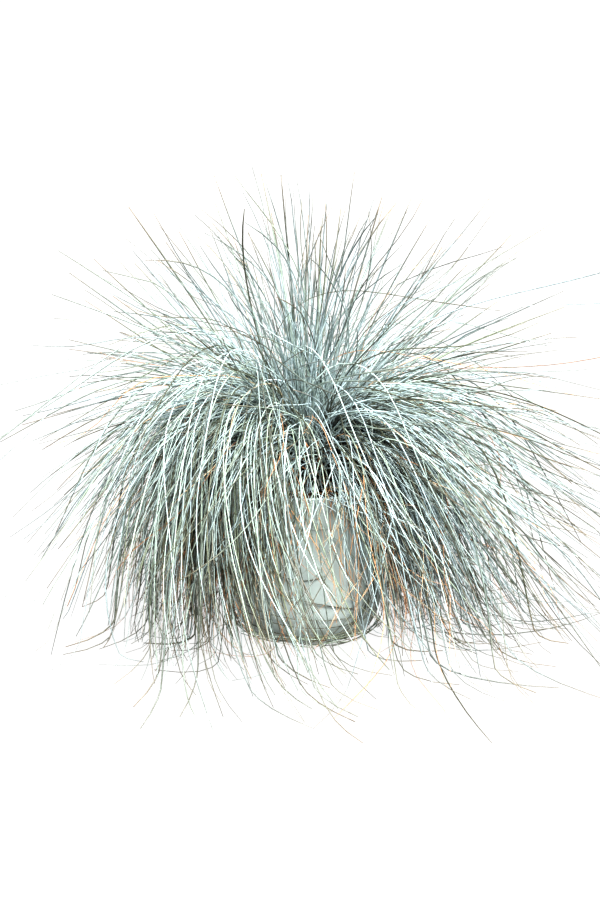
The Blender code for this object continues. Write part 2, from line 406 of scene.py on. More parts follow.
def makePot():
    size = potSize
    bm = bmesh.new()
    turnOutline(bm, potOutline(), size["segments"])
    bmesh.ops.recalc_face_normals(bm, faces=bm.faces)
    pot = addPiece("nurseryPot", bm)
    pot.data.set_sharp_from_angle(angle=math.radians(size["sharpFrom"]))
    drains = bmesh.new()
    for k in range(size["notches"]):
        angle = tau * (k + 0.5) / size["notches"]
        made = bmesh.ops.create_cone(
            drains, cap_ends=True, segments=size["drainSegments"], radius1=size["drainRadius"],
            radius2=size["drainRadius"], depth=size["drainDepth"],
        )
        place = Vector((math.cos(angle), math.sin(angle), 0)) * size["drainRing"]
        place.z = size["footHeight"] + size["floor"] / 2
        bmesh.ops.translate(drains, verts=made["verts"], vec=place)
        box = bmesh.ops.create_cube(drains, size=1)["verts"]
        sizes = (size["notchLength"], size["notchWidth"], 2 * size["notchHeight"])
        bmesh.ops.scale(drains, verts=box, vec=sizes)
        bmesh.ops.translate(drains, verts=box, vec=(size["baseRadius"] + size["notchOut"], 0, 0))
        turn = Matrix.Rotation(angle, 3, "Z")
        bmesh.ops.rotate(drains, verts=box, cent=(0, 0, 0), matrix=turn)
    cutter = addPiece("drainCutter", drains)
    modifier = pot.modifiers.new("drains", "BOOLEAN")
    modifier.operation = "DIFFERENCE"
    modifier.object = cutter
    settle(pot)
    bpy.data.objects.remove(cutter, do_unlink=True)
    dress(pot, potSkin(), "pot_plastic", "pot")
    print("pot turned,", len(pot.data.polygons), "faces")


# Applies a piece's modifiers to its mesh
def settle(piece):
    graph = bpy.context.evaluated_depsgraph_get()
    mesh = bpy.data.meshes.new_from_object(piece.evaluated_get(graph))
    piece.modifiers.clear()
    old = piece.data
    piece.data = mesh
    bpy.data.meshes.remove(old)
    mesh.name = piece.name


# The soil

soilSize = {
    "bottom": 0.0085, "bottomShare": 0.86, "sideTop": 0.108, "below": 0.0006, "settled": 0.0018,
    "roughScale": 70, "relief": 0.0011, "rings": 16, "segments": 120, "crumbs": 420,
    "crumb": (0.0007, 0.0021), "crumbUneven": (0.7, 1.2), "crumbPlace": (0.2, 0.93), "crumbLift": 0.3,
    "sharpFrom": 60,
}


def soilHeight(x, y):
    rough = noise.fractal(Vector((x, y, 0.3)) * soilSize["roughScale"], 0.7, 2.1, 4)
    settled = -soilSize["settled"] * (math.hypot(x, y) / soilHigh[0]) ** 2
    return soilHigh[2] - soilSize["below"] + settled + soilSize["relief"] * rough


def makeSoil():
    rng = np.random.default_rng(seeds["soil"])
    bm = bmesh.new()
    edge, bottom = soilHigh[0], soilSize["bottom"]
    outline = [(0, bottom), (edge * soilSize["bottomShare"], bottom), (edge, soilSize["sideTop"])]
    rounds = soilSize["rings"]
    outline += [(edge * (rounds - k) / rounds, 1) for k in range(rounds + 1)]  # the top, laid down below
    turnOutline(bm, outline, soilSize["segments"])
    for vert in bm.verts:
        if vert.co.z > 0.5:
            vert.co.z = soilHeight(vert.co.x, vert.co.y)
    for _ in range(soilSize["crumbs"]):
        radius = edge * math.sqrt(rng.uniform(*soilSize["crumbPlace"]))
        turn = rng.uniform(0, tau)
        size = rng.uniform(*soilSize["crumb"])
        x, y = radius * math.cos(turn), radius * math.sin(turn)
        made = bmesh.ops.create_icosphere(bm, subdivisions=1, radius=size)["verts"]
        for vert in made:
            vert.co *= rng.uniform(*soilSize["crumbUneven"])
        height = soilHeight(x, y) + soilSize["crumbLift"] * size
        bmesh.ops.translate(bm, verts=made, vec=(x, y, height))
    bmesh.ops.recalc_face_normals(bm, faces=bm.faces)
    soil = addPiece("compostTop", bm)
    soil.data.set_sharp_from_angle(angle=math.radians(soilSize["sharpFrom"]))
    dress(soil, soilSkin(), "potting_soil", "soil")
    print("soil laid,", len(soil.data.polygons), "faces")


# Growing blades. Every blade is worked out as a line first: it leaves the crown at its lean, bends
# under its own weight where it is soft, wanders a little, and lies along what it meets.

crown = {"lean": math.radians(66), "radius": crownHigh[0], "top": crownHigh[2]}
crown["ball"] = crown["radius"] / math.sin(crown["lean"])
crown["centre"] = crown["top"] - crown["ball"]

growth = {
    "steps": 64, "rootInset": 0.001, "softRise": 1.5, "softFall": 3.0, "swayAtRoot": 0.4,
    "waves": (1.0, 2.6), "clearance": 0.0009, "landing": 0.024, "outerShare": 0.86, "pastBox": 0.004,
    "turnEffort": 0.35,
}


# How easily a blade bends at a share of its length, 1 where it is softest
def softness(share, fall):
    rise = growth["softRise"]
    peak = rise / (rise + fall)
    top = peak**rise * (1 - peak) ** fall
    return share**rise * (1 - share) ** fall / top


# Keeps points off the ground, the soil and the pot, and turns the directions that ran into them
def keepClear(points, directions):
    gap = growth["clearance"]
    steepest = -np.clip((points[:, 2] - gap) / growth["landing"], 0.0, 1.0)
    steep = (points[:, 2] < growth["landing"]) & (directions[:, 2] < steepest)
    level = np.maximum(np.hypot(directions[:, 0], directions[:, 1]), 1e-6)
    directions[steep, :2] *= (np.sqrt(1 - steepest**2) / level)[steep, None]
    directions[steep, 2] = steepest[steep]
    points[:, 2] = np.maximum(points[:, 2], gap)
    radius = np.hypot(points[:, 0], points[:, 1])
    wall = potRadius(points[:, 2]) + gap
    sunk = (radius < wall) & (points[:, 2] < potSize["height"] + gap)
    outer = sunk & (radius > growth["outerShare"] * wall)
    push = np.where(outer, wall / np.maximum(radius, 1e-6), 1.0)
    points[:, :2] *= push[:, None]
    outward = points[:, :2] / np.maximum(np.hypot(points[:, 0], points[:, 1]), 1e-6)[:, None]
    inward = np.minimum((directions[:, :2] * outward).sum(1), 0.0)
    directions[outer, :2] -= (inward[:, None] * outward)[outer]
    bedded = sunk & ~outer
    points[bedded, 2] = np.maximum(points[bedded, 2], soilHigh[2] + gap)
    directions[bedded, 2] = np.maximum(directions[bedded, 2], 0.0)
    directions /= np.linalg.norm(directions, axis=1)[:, None]


# The level directions of turns about the middle: outward, and at a right angle to that
def headings(turn):
    level = np.zeros(len(turn))
    out = np.stack([np.sin(turn), -np.cos(turn), level], 1)
    return out, np.stack([np.cos(turn), np.sin(turn), level], 1)


# Lines for a set of blades. blades holds an array for each of their facts. A turn is an angle about the
# middle, from the front towards +X, and a lean is an angle from the vertical.
def growLines(blades, rng):
    count = len(blades["turn"])
    lean, rootLean = blades["lean"], blades["rootLean"]
    out, side = headings(blades["turn"])
    up = np.array([0.0, 0.0, 1.0])
    root = headings(blades["rootTurn"])[0]
    root = root * np.sin(rootLean)[:, None] + up * np.cos(rootLean)[:, None]
    points = root * (crown["ball"] - growth["rootInset"]) + up * crown["centre"]
    directions = out * np.sin(lean)[:, None] + up * np.cos(lean)[:, None]
    wander = rng.normal(0, 1, (2, count, 1)) * blades["wander"][:, None]
    waves = rng.uniform(*growth["waves"], (2, count, 1))
    phases = rng.uniform(0, tau, (2, count, 1))
    steps = growth["steps"]
    stride = blades["length"] / steps
    fall = blades.get("softFall", growth["softFall"])
    lines = np.zeros((steps + 1, count, 3))
    lines[0] = points
    for k in range(steps):
        share = k / steps
        weight = directions * directions[:, 2:3] - up
        bend = weight * (blades["droop"] * softness(share, fall) / steps)[:, None]
        bend += side * (blades["sway"] * (growth["swayAtRoot"] + share) / steps)[:, None]
        for w in range(2):
            wave = np.sin(waves[w] * tau * share + phases[w]) * wander[w] / steps
            bend += wave * (side if w else np.cross(side, directions))
        kinked = (blades["kinkAt"] >= share) & (blades["kinkAt"] < share + 1 / steps)
        bend += weight * (kinked * blades["kink"])[:, None] + side * (kinked * blades["kinkSide"])[:, None]
        directions = directions + bend
        directions /= np.linalg.norm(directions, axis=1)[:, None]
        points = points + directions * stride[:, None]
        keepClear(points, directions)
        lines[k + 1] = points
    return trimToReach(lines.transpose(1, 0, 2), blades["stop"])


# Cuts blades short where they would grow past the clump's own reach or below their stopping height
def trimToReach(lines, stop):
    low = np.array(cadBounds[0]) - growth["pastBox"]
    high = np.array(cadBounds[1]) + growth["pastBox"]
    inside = ((lines > low) & (lines < high)).all(2) & (lines[:, :, 2] > stop[:, None])
    shares = np.linspace(0, 1, lines.shape[1])
    for b in np.nonzero(~inside.all(1))[0]:
        last = max(int(np.argmin(inside[b])) - 1, 2)
        wanted = shares * shares[last]
        for axis in range(3):
            lines[b, :, axis] = np.interp(wanted, shares, lines[b, :, axis].copy())
    return lines


# Fewer points on each line, closer together where it bends
def thinLines(lines, stations):
    steps = np.diff(lines, axis=1)
    lengths = np.linalg.norm(steps, axis=2)
    ways = steps / lengths[:, :, None]
    turns = np.zeros_like(lengths)
    turns[:, 1:] = np.arccos(np.clip((ways[:, 1:] * ways[:, :-1]).sum(2), -1, 1))
    effort = lengths / lengths.sum(1)[:, None] + growth["turnEffort"] * turns / math.pi
    reached = np.concatenate([np.zeros((len(lines), 1)), np.cumsum(effort, 1)], 1)
    shares = np.linspace(0, 1, lines.shape[1])
    thin = np.zeros((len(lines), stations, 3))
    along = np.zeros((len(lines), stations))
    for b in range(len(lines)):
        wanted = np.linspace(0, reached[b, -1], stations)
        along[b] = np.interp(wanted, reached[b], shares)
        for axis in range(3):
            thin[b, :, axis] = np.interp(wanted, reached[b], lines[b, :, axis])
    return thin, along


# The folded section of a blade: two edges and a keel, as shares of its half width
bladeSection = ((-1.0, 0.30), (1.0, 0.30), (0.0, -0.75))
bladeForm = {
    "twistAtRoot": 0.3, "tipWidth": 0.42, "widens": 0.58, "taperCurve": 0.8, "flare": 0.25,
    "flareEnd": 0.1, "shadeFrom": 0.3, "shadeOver": 0.6, "sheathEnd": 0.05,
}


# Draws all the blades of a piece together, station by station, from a triangle at each root
def drawBlades(name, blades, lines, stations, sheathEnd=bladeForm["sheathEnd"]):
    points, along = thinLines(lines, stations)
    ahead = np.gradient(points, axis=1)
    ahead /= np.linalg.norm(ahead, axis=2)[:, :, None]
    side = headings(blades["turn"])[1][:, None, :]
    side = side - ahead * (side * ahead).sum(2)[:, :, None]
    side /= np.linalg.norm(side, axis=2)[:, :, None]
    over = np.cross(side, ahead)
    twist = blades["twist"][:, None] * (bladeForm["twistAtRoot"] + along) + blades["roll"][:, None]
    across = side * np.cos(twist)[:, :, None] + over * np.sin(twist)[:, :, None]
    above = over * np.cos(twist)[:, :, None] - side * np.sin(twist)[:, :, None]
    slim = np.clip((1 - along) / blades["taper"][:, None], 0, 1) ** bladeForm["taperCurve"]
    flare = 1 + bladeForm["flare"] * np.clip(1 - along / bladeForm["flareEnd"], 0, 1)
    half = blades["halfWidth"][:, None] * (bladeForm["tipWidth"] + bladeForm["widens"] * slim) * flare
    corners = np.stack([points + (across * a + above * b) * half[:, :, None] for a, b in bladeSection], 2)
    shade = np.clip((along - bladeForm["shadeFrom"]) / bladeForm["shadeOver"], 0, 1)
    tones = blades["tone"][:, None] * (1 - blades["shade"][:, None] * shade)

    bm = bmesh.new()
    bladeLayer = bm.verts.layers.int.new("blade")
    cornerLayer = bm.verts.layers.int.new("corner")
    looks = ("along", "tone", "hue", "dry", "base")
    layers = {look: bm.verts.layers.float.new(look) for look in looks}
    for b in range(len(points)):
        made = bmesh.ops.create_circle(bm, cap_ends=True, segments=len(bladeSection), radius=0.001)
        for k, vert in enumerate(made["verts"]):
            vert[bladeLayer] = b
            vert[cornerLayer] = k
            vert[layers["hue"]] = blades["hue"][b]
            vert[layers["dry"]] = blades["dry"][b]
    tips = list(bm.faces)
    for station in range(stations):
        if station:
            tips = bmesh.ops.extrude_discrete_faces(bm, faces=tips)["faces"]
        for face in tips:
            for vert in face.verts:
                b = vert[bladeLayer]
                vert.co = corners[b, station, vert[cornerLayer]]
                vert[layers["along"]] = along[b, station]
                vert[layers["tone"]] = tones[b, station]
                # How dark the painted shade at the blade's base is: full over the first half of its reach,
                # gone at its end
                vert[layers["base"]] = min(max(2 - 2 * along[b, station] / sheathEnd, 0), 1)
    bmesh.ops.recalc_face_normals(bm, faces=bm.faces)
    bm.verts.layers.int.remove(bladeLayer)
    bm.verts.layers.int.remove(bm.verts.layers.int["corner"])
    piece = addPiece(name, bm)
    print(f"{name} drawn, {len(points)} blades, {len(piece.data.polygons)} faces")
    return piece


# The rings, and the zones that the photograph's front shows. Ranges are in degrees, metres and a share of
# the crown's own lean. tone is a middle and a spread, shade darkens a blade towards its tip, dim is the
# share of dark blades, partly old green blades and partly painted shade between the blades, and keepsTone
# the share that stays light to its tip.
# One share of each ring gives how far up a blade, from its root, the painted shade at its base reaches
rings = {
    "upright": {
        "locks": 22, "perLock": 5, "lean": (0, 18), "length": (0.13, 0.242), "longer": 1.2,
        "droop": (0.2, 1.1), "stations": 12, "tone": (1.05, 0.12), "hue": 0.12, "sway": 0.5,
        "scatter": 1.6, "rootLean": (0.0, 0.40), "sheath": 0.02, "shade": 0.82,
        "dim": 0.05, "wider": 1.12,
    },
    "fan": {
        "locks": 36, "perLock": 5, "lean": (12, 40), "length": (0.15, 0.272), "longer": 1.4,
        "droop": (0.6, 2.1), "stations": 14, "tone": (1.0, 0.16), "hue": 0.20, "sway": 0.6,
        "scatter": 0.7, "rootLean": (0.1, 0.60), "sheath": 0.03, "shade": 0.76,
        "dim": 0.12, "wider": 1.12,
    },
    "spread": {
        "locks": 45, "perLock": 5, "lean": (27, 48), "length": (0.15, 0.268), "longer": 1.4,
        "droop": (1.4, 4.2), "stations": 16, "tone": (0.92, 0.20), "hue": 0.28, "sway": 0.7,
        "scatter": 0.45, "rootLean": (0.3, 0.80), "sheath": 0.04, "shade": 0.70,
        "dim": 0.18, "wider": 1.12,
    },
    "arching": {
        "locks": 70, "perLock": 7, "lean": (24, 43), "length": (0.17, 0.285), "longer": 1.1,
        "droop": (4.4, 8.8), "stations": 18, "tone": (0.88, 0.20), "hue": 0.26, "sway": 0.75,
        "scatter": 0.35, "rootLean": (0.3, 0.95), "sheath": 0.15, "shade": 0.58,
        "gap": (-28, 38), "combed": 0.9, "dim": 0.12, "narrower": 0.45, "keepsTone": 0.5,
    },
    "skirt": {
        "locks": 70, "perLock": 7, "lean": (20, 41), "length": (0.215, 0.330),
        "droop": (7.0, 11.5), "stations": 20, "tone": (0.89, 0.24), "hue": 0.30, "sway": 0.75,
        "scatter": 0.3, "rootLean": (0.4, 1.0), "sheath": 0.25, "shade": 0.50,
        "gap": (-34, 58), "combed": 1.0, "dim": 0.18, "keepsTone": 0.7,
    },
    # The inner blades are near black: painted shade deep inside the clump
    "inner": {
        "locks": 42, "perLock": 7, "lean": (30, 50), "length": (0.14, 0.225),
        "droop": (8.0, 14.0), "stations": 18, "tone": (0.03, 0.08), "hue": 0.90, "sway": 0.7,
        "scatter": 0.3, "rootLean": (0.7, 1.08), "sheath": 0.55,
        "gap": (-46, 88), "combed": 1.0,
    },
    "fringe": {
        "locks": 104, "perLock": 6, "lean": (8, 30), "length": (0.10, 0.25), "longer": 1.5,
        "droop": (8.0, 13.5), "stations": 20, "tone": (0.84, 0.22), "hue": 0.20, "sway": 0.8,
        "scatter": 0.25, "rootLean": (0.4, 1.02), "sheath": 0.34, "shade": 0.36,
        "gap": (-32, 50), "combed": 0.65, "around": (-75, 100), "dim": 0.22, "keepsTone": 0.6,
    },
    "curtain": {
        "locks": 19, "perLock": 6, "lean": (14, 34), "length": (0.27, 0.38), "longer": 1.1,
        "droop": (8.5, 11.5), "stations": 20, "tone": (0.84, 0.22), "hue": 0.35, "sway": 0.3,
        "scatter": 0.2, "rootLean": (0.5, 1.0), "sheath": 0.28, "shade": 0.50,
        "around": (-60, -33), "drift": 0.35, "landing": 0.35, "dim": 0.30, "keepsTone": 0.6,
    },
    "sweeping": {
        "locks": 15, "perLock": 4, "lean": (20, 34), "length": (0.24, 0.345), "longer": 0.8,
        "droop": (7.0, 9.5), "stations": 22, "tone": (0.72, 0.24), "hue": 0.50, "sway": 0.4,
        "scatter": 0.2, "rootLean": (0.6, 1.0), "sheath": 0.28, "shade": 0.60,
        "around": (-64, -16), "drift": 2.0, "dim": 0.3, "landing": 0.75, "keepsTone": 0.5,
    },
    "diagonal": {
        "locks": 32, "perLock": 6, "lean": (16, 34), "length": (0.24, 0.33),
        "droop": (6.4, 9.2), "stations": 20, "tone": (0.88, 0.24), "hue": 0.30, "sway": 0.3,
        "scatter": 0.2, "rootLean": (0.4, 1.0), "sheath": 0.28, "shade": 0.75,
        "around": (38, 92), "drift": 0.3, "dim": 0.32, "landing": 0.25, "keepsTone": 0.35,
        "stopHigh": 0.02,
    },
    "apex": {
        "locks": 38, "perLock": 4, "lean": (14, 46), "length": (0.07, 0.15),
        "droop": (5.0, 10.5), "stations": 16, "tone": (1.0, 0.16), "hue": 0.15, "sway": 0.8,
        "scatter": 0.3, "rootLean": (0.1, 0.75), "sheath": 0.04,
        "gap": (-10, 14), "combed": 1.0, "around": (-56, 86), "dim": 0.1,
    },
    "tangle": {
        "locks": 34, "perLock": 6, "lean": (16, 36), "length": (0.19, 0.26),
        "droop": (9.5, 14.0), "stations": 20, "tone": (0.12, 0.14), "hue": 0.95, "sway": 0.8,
        "scatter": 0.3, "rootLean": (0.6, 1.05), "sheath": 0.30,
        "around": (-98, -50), "drift": 1.0, "landing": 0.5, "wander": (1.0, 4.0),
    },
}
# Sides where the hanging blades run out straighter: how much less they droop, how much longer they are,
# how much nearer the crown they bend, how far the arch narrows there and how few are dim
sweeps = [
    {
        "middle": math.radians(66), "reach": math.radians(38), "droop": -0.42, "length": 0.27,
        "stiffer": 7.0, "narrows": 1.0, "lighter": 0.0,
    },
    {
        "middle": math.radians(-88), "reach": math.radians(32), "droop": 0.20, "length": 0.10,
        "stiffer": 1.5, "narrows": 0.0, "lighter": 0.85,
    },
]
# Left of the pot most hanging blades are old, stop above the ground, and let the dark tangle show
window = {
    "middle": math.radians(-42), "reach": math.radians(15), "share": 0.75, "stop": (0.05, 0.12),
    "shade": 0.95, "shadeReach": 0.4,
}
# How much denser the hanging blades are on the right than on the left
fullerRight = 0.12
# The parting at the front: hanging blades that start inside its reach leave on either side of its gap
partingReach = math.radians(75)
# What all rings share: the steps that set out a ring's locks evenly, each lock's own spread, and that of
# the blades within a lock
loose = {
    "turnStep": 0.381966, "placeStep": 0.7548, "lockTurn": 0.08, "lockDroop": 0.2,
    "turn": 0.19, "place": 0.18, "placeRange": (-0.1, 1.1), "reach": 0.22, "droop": 0.12,
    "rootLean": 0.2, "tone": 0.16, "hue": 0.28, "hangsFrom": 3, "hangsOver": 6, "besideParting": 40,
    "combedFrom": 0.35, "landing": 0.09, "stopLow": 0.003, "stopHigh": 0.065, "stopCurve": 1.6,
    "wander": (0.4, 1.9), "kinked": 0.025, "kinkAt": (0.35, 0.9), "kink": (0.3, 1.1), "kinkSide": 0.5,
    "twist": 1.2, "roll": 0.5, "taper": (0.10, 0.30), "halfWidth": (0.00038, 0.00058),
    "lightShade": -0.10, "dimTone": 0.14, "dimHue": 0.35, "leastTone": 0.02,
    "dryTips": 0.4, "dry": (0.4, 1), "freshTip": 0.15,
}


# The angle from a middle to a turn, the short way round
def asideOf(turn, middle):
    return (turn - middle + math.pi) % tau - math.pi


# Turns the blades that would hang in the parting at the front to either side of its gap
def comb(turn, gap, strength):
    middle = math.radians(sum(gap) / 2)
    half = math.radians(gap[1] - gap[0]) / 2
    aside = asideOf(turn, middle)
    size = np.abs(aside)
    reach = half + partingReach
    wanted = middle + np.sign(aside) * np.where(size < reach, half + size * (1 - half / reach), size)
    return turn + strength * asideOf(wanted, turn)


# Facts of blades that have no kink, don't stop short and have no colouring of their own
def plainFacts(count):
    plain = {name: np.zeros(count) for name in ("kink", "kinkSide", "stop", "hue", "dry", "shade")}
    return {**plain, "kinkAt": np.full(count, -1.0)}


# Random facts for the blades of a ring, lock by lock: blades of one lock run nearly alike
def castBlades(facts, rng):
    locks, perLock = facts["locks"], facts["perLock"]
    count = locks * perLock
    hangs = min(max((sum(facts["droop"]) / 2 - loose["hangsFrom"]) / loose["hangsOver"], 0), 1)
    lockNumber = np.arange(locks)
    lockTurn = tau * ((lockNumber * loose["turnStep"] + rng.random()) % 1)
    lockTurn += rng.normal(0, loose["lockTurn"], locks)
    place = (lockNumber * loose["placeStep"] + rng.random()) % 1

    def each(values, scatter):
        return np.repeat(values, perLock) + rng.normal(0, scatter, count)

    def between(key, share):
        low, high = facts[key]
        return low + (high - low) * share

    lockTurn += fullerRight * hangs * np.cos(lockTurn)
    if "around" in facts:
        start, end = (math.radians(side) for side in facts["around"])
        lockTurn = start + (end - start) * (lockTurn % tau) / tau
    turn = each(lockTurn, loose["turn"])
    share = np.clip(each(place, loose["place"]), *loose["placeRange"])
    reach = np.clip(each(rng.random(locks), loose["reach"]), 0, 1) ** facts.get("longer", 1.0)
    droopShare = each(rng.normal(0, loose["lockDroop"], locks), loose["droop"])
    droopShare = np.clip(share + droopShare, 0, 1)
    rootTurn = turn + rng.normal(0, facts["scatter"], count)
    if "gap" in facts:
        turn = comb(turn, facts["gap"], np.where(reach > loose["combedFrom"], 1.0, facts["combed"]))
    droopLess, longer = np.zeros(count), np.zeros(count)
    softFall = np.full(count, growth["softFall"])
    dimShare = np.full(count, facts.get("dim", 0.0))
    for sweep in sweeps:
        swept = np.exp(-((asideOf(turn, sweep["middle"]) / sweep["reach"]) ** 2)) * (hangs > 0)
        droopLess += (sweep["droop"] - sweep["narrows"] * facts.get("narrower", 0)) * swept
        longer += sweep["length"] * swept * hangs
        softFall += sweep["stiffer"] * swept
        dimShare *= 1 - sweep["lighter"] * swept
    # Dim blades are dark all along: partly old green blades and partly painted shade between the blades
    dim = rng.random(count) < dimShare
    keepsTone = rng.random(count) < facts.get("keepsTone", 0) * np.abs(np.cos(turn))
    hanging = rng.random(count) > facts.get("landing", loose["landing"])
    shade = np.where(keepsTone, loose["lightShade"], facts.get("shade", 0.0))
    stopHigh = facts.get("stopHigh", loose["stopHigh"])
    stop = loose["stopLow"] + stopHigh * rng.random(count) ** loose["stopCurve"]
    stop = np.where(hanging, stop, 0)
    if "gap" in facts:
        beyond = np.abs(asideOf(turn, window["middle"])) > window["reach"]
        ends = rng.uniform(*window["stop"], count)
        old = ~beyond & (rng.random(count) < window["share"])
        stop = np.where(old, ends, stop)
        shade = np.where(old & (reach > window["shadeReach"]), window["shade"], shade)
    sway = each(rng.normal(facts.get("drift", 0), facts["sway"], locks), facts["sway"])
    if "gap" in facts:
        low, high = facts["gap"]
        aside = asideOf(turn, math.radians((low + high) / 2))
        beside = np.abs(aside) < math.radians((high - low) / 2 + loose["besideParting"])
        sway = np.where(beside, np.sign(aside) * np.abs(sway), sway)  # away from the parting
    rootShare = np.clip(share + rng.normal(0, loose["rootLean"], count), 0, 1)
    return {
        "turn": turn,
        "lean": np.radians(between("lean", share)),
        "rootTurn": rootTurn,
        "rootLean": crown["lean"] * between("rootLean", rootShare),
        "length": between("length", reach) * (1 + longer),
        "droop": between("droop", droopShare) * (1 - droopLess),
        "softFall": softFall,
        "sway": sway,
        "wander": rng.uniform(*facts.get("wander", loose["wander"]), count),
        "kinkAt": np.where(rng.random(count) < loose["kinked"], rng.uniform(*loose["kinkAt"], count), -1),
        "kink": rng.uniform(*loose["kink"], count),
        "kinkSide": rng.normal(0, loose["kinkSide"], count),
        "twist": rng.normal(0, loose["twist"], count),
        "roll": rng.normal(0, loose["roll"], count),
        "taper": rng.uniform(*loose["taper"], count),
        "halfWidth": rng.uniform(*loose["halfWidth"], count) * facts.get("wider", 1),
        "tone": np.clip(
            each(rng.normal(*facts["tone"], locks), loose["tone"]) * np.where(dim, loose["dimTone"], 1),
            loose["leastTone"], 1,
        ),
        "shade": shade,
        "hue": np.clip(facts["hue"] + rng.normal(0, loose["hue"], count) + loose["dimHue"] * dim, 0, 1),
        "stop": stop,
        "dry": np.where(
            rng.random(count) < loose["dryTips"], rng.uniform(*loose["dry"], count), loose["freshTip"],
        ),
    }


def makeRing(ring, number):
    facts = rings[ring]
    rng = np.random.default_rng(seeds["rings"] + number)
    blades = castBlades(facts, rng)
    lines = growLines(blades, rng)
    piece = drawBlades(f"{ring}Blades", blades, lines, facts["stations"], facts["sheath"])
    dress(piece, bladeMaterial, "fescue_blades", *nodesOf(ring))


# Single blades that stand out from the clump: which way each leaves, from the front towards +X, and
# its lean, both in degrees, its length in millimetres and its droop
strayBlades = {
    "upright": [
        (-90, 4, 244, 2.1), (-125, 5, 241, 1.3), (77, 9, 245, 0.1), (-90, 11, 250, 1.2),
        (-111, 14, 234, 0.9), (34, 5, 223, 0.4), (99, 11, 229, 0.6), (90, 15, 235, 0.8),
        (112, 11, 225, 1.8), (-27, 2, 208, 0.3), (140, 8, 218, 1.2), (-114, 6, 211, 2.0),
    ],
    "fan": [
        (-90, 27, 255, 0.5), (-100, 23, 219, 0.5), (-77, 19, 215, 0.3), (90, 18, 226, 1.1),
        (73, 15, 223, 1.8), (90, 30, 249, 0.8), (99, 23, 210, 1.3), (-107, 26, 218, 0.8),
        (-54, 14, 205, 0.6), (82, 26, 215, 1.1),
    ],
    "spread": [
        (-93, 33, 233, 0.5), (-84, 34, 238, 0.6), (-90, 36, 245, 0.9), (-101, 31, 216, 0.7),
        (-76, 27, 202, 0.7), (-90, 37, 221, 0.9), (-103, 35, 216, 1.2), (90, 34, 251, 1.5),
        (98, 36, 250, 1.6), (79, 31, 204, 1.2), (93, 37, 225, 1.6), (90, 35, 227, 2.1),
        (105, 34, 219, 1.7),
    ],
    "arching": [
        (-100, 30, 191, 1.9), (-90, 34, 224, 2.0), (-84, 31, 222, 2.5), (-96, 35, 190, 1.9),
        (-80, 32, 178, 2.2), (-90, 36, 224, 2.8), (-90, 35, 292, 3.5), (-95, 35, 264, 3.7),
        (-82, 35, 242, 3.8), (-90, 35, 264, 4.2), (90, 32, 229, 2.9), (85, 33, 223, 3.1),
        (95, 36, 234, 3.1), (81, 29, 208, 3.6), (90, 34, 294, 4.1), (85, 31, 277, 4.5),
        (95, 31, 343, 5.5), (99, 35, 274, 3.6),
    ],
    "left": [
        (-90, 32, 324, 5.6), (-77, 39, 354, 8.0), (-93, 36, 352, 7.4), (-72, 36, 342, 9.8),
        (-75, 34, 345, 10.3), (-65, 38, 359, 7.6), (-53, 36, 353, 8.7), (-40, 38, 358, 7.8),
        (-32, 41, 363, 6.7), (-30, 37, 355, 8.3), (-51, 34, 325, 11.9), (-64, 33, 337, 11.2),
        (-57, 34, 277, 13.0), (-44, 36, 262, 10.0),
    ],
    "front": [
        (-3, 36, 353, 8.8), (4, 35, 352, 9.0), (11, 36, 310, 12.5), (28, 35, 351, 9.6),
        (27, 36, 312, 12.3), (38, 34, 314, 13.0), (-13, 36, 311, 12.4), (-22, 36, 299, 13.0),
        (1, 38, 280, 13.0),
    ],
    "right": [
        (47, 40, 362, 6.9), (53, 34, 315, 12.9), (52, 34, 337, 10.9), (69, 33, 351, 10.2),
        (60, 37, 358, 7.8), (70, 40, 365, 6.8), (83, 39, 360, 7.2), (92, 39, 362, 5.9),
        (95, 33, 351, 6.2), (87, 32, 296, 5.5), (90, 33, 261, 5.1), (57, 34, 347, 10.2),
    ],
    "back": [
        (180, 35, 292, 3.5), (172, 35, 285, 3.7), (188, 36, 290, 3.8), (165, 34, 262, 2.6),
        (196, 34, 268, 3.0), (178, 31, 250, 1.6), (203, 35, 350, 6.4), (158, 37, 354, 7.2),
        (186, 33, 345, 8.4), (170, 34, 338, 9.6), (150, 36, 300, 4.4), (212, 36, 300, 4.2),
    ],
}


# drift is how far the blades of a group bend round towards +X on their way
strayFacts = {
    "drift": {"front": 0.9, "right": 0.25}, "startsBack": 0.3, "rootTurn": 0.12, "sway": 0.06,
    "wander": (0.1, 0.5), "twist": 1.0, "roll": 0.5, "taper": (0.15, 0.30),
    "halfWidth": (0.00064, 0.00082), "tone": (0.46, 0.18), "leastTone": 0.05, "hue": (0.45, 0.25),
    "dry": (0.3, 1), "shade": 0.55, "stations": 20,
}


